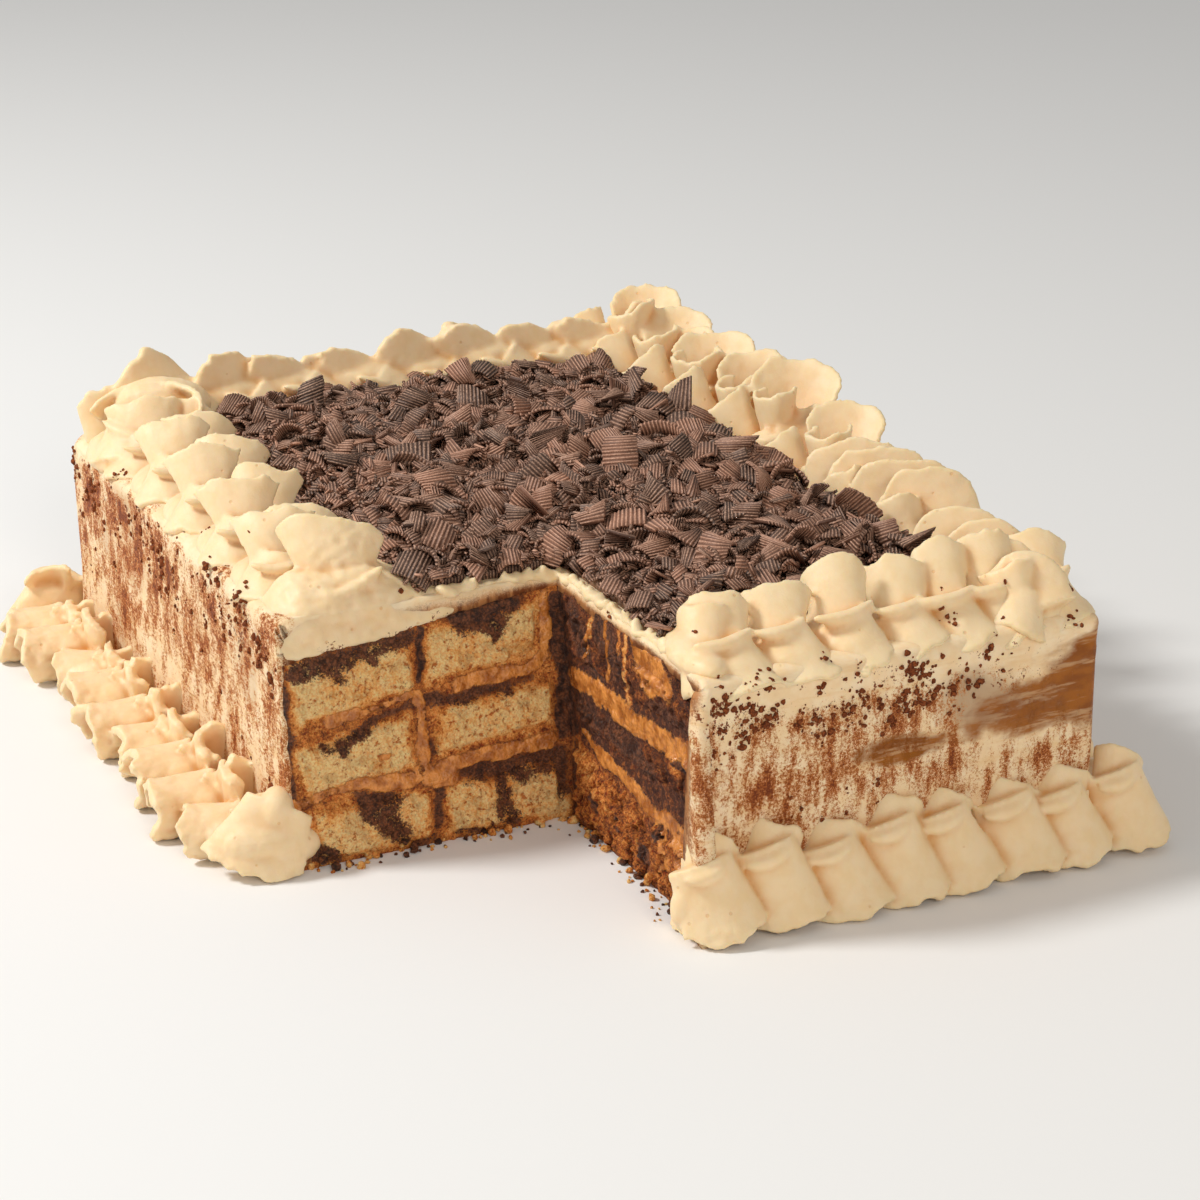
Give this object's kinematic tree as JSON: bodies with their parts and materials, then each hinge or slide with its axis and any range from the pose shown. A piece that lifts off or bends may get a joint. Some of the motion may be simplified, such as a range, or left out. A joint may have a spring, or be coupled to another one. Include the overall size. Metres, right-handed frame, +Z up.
{
  "type": "biscuit cake",
  "caption": "Rectangular cake of sponge biscuits layered in caramel, in a cocoa-dusted cream coat with ruffled piping and chocolate shavings, with a corner portion cut out.",
  "frame": {"origin": "on the table, under the middle of the cake's outline with its foot border", "axes": "+Z up, +Y along the length towards the uncut end, +X across the width; the missing portion is the corner at -X, -Y"},
  "size_m": [0.256, 0.296, 0.0982],
  "materials": {
    "coat": "smoothed coffee cream dusted and streaked with cocoa",
    "sponge": "open sponge crumb, soaked with coffee at its edges",
    "caramel": "glossy soft caramel",
    "piping": "smooth whipped coffee cream with a soft sheen",
    "chocolate": "dull dark chocolate with fine grater ridges"
  },
  "bodies": {
    "root": {"cream_coat": "coat", "biscuits_bottom_1": "sponge", "biscuits_bottom_2": "sponge", "biscuits_bottom_3": "sponge", "biscuits_bottom_4": "sponge", "biscuits_middle_1": "sponge", "biscuits_middle_2": "sponge", "biscuits_middle_3": "sponge", "biscuits_middle_4": "sponge", "biscuits_top_1": "sponge", "biscuits_top_2": "sponge", "biscuits_top_3": "sponge", "biscuits_top_4": "sponge", "caramel_filling": "caramel", "piping_top_left": "piping", "piping_top_back": "piping", "piping_top_right": "piping", "piping_top_front": "piping", "piping_base_left": "piping", "piping_base_back": "piping", "piping_base_right": "piping", "piping_base_front": "piping", "chocolate_shavings": "chocolate"}
  },
  "joints": []
}
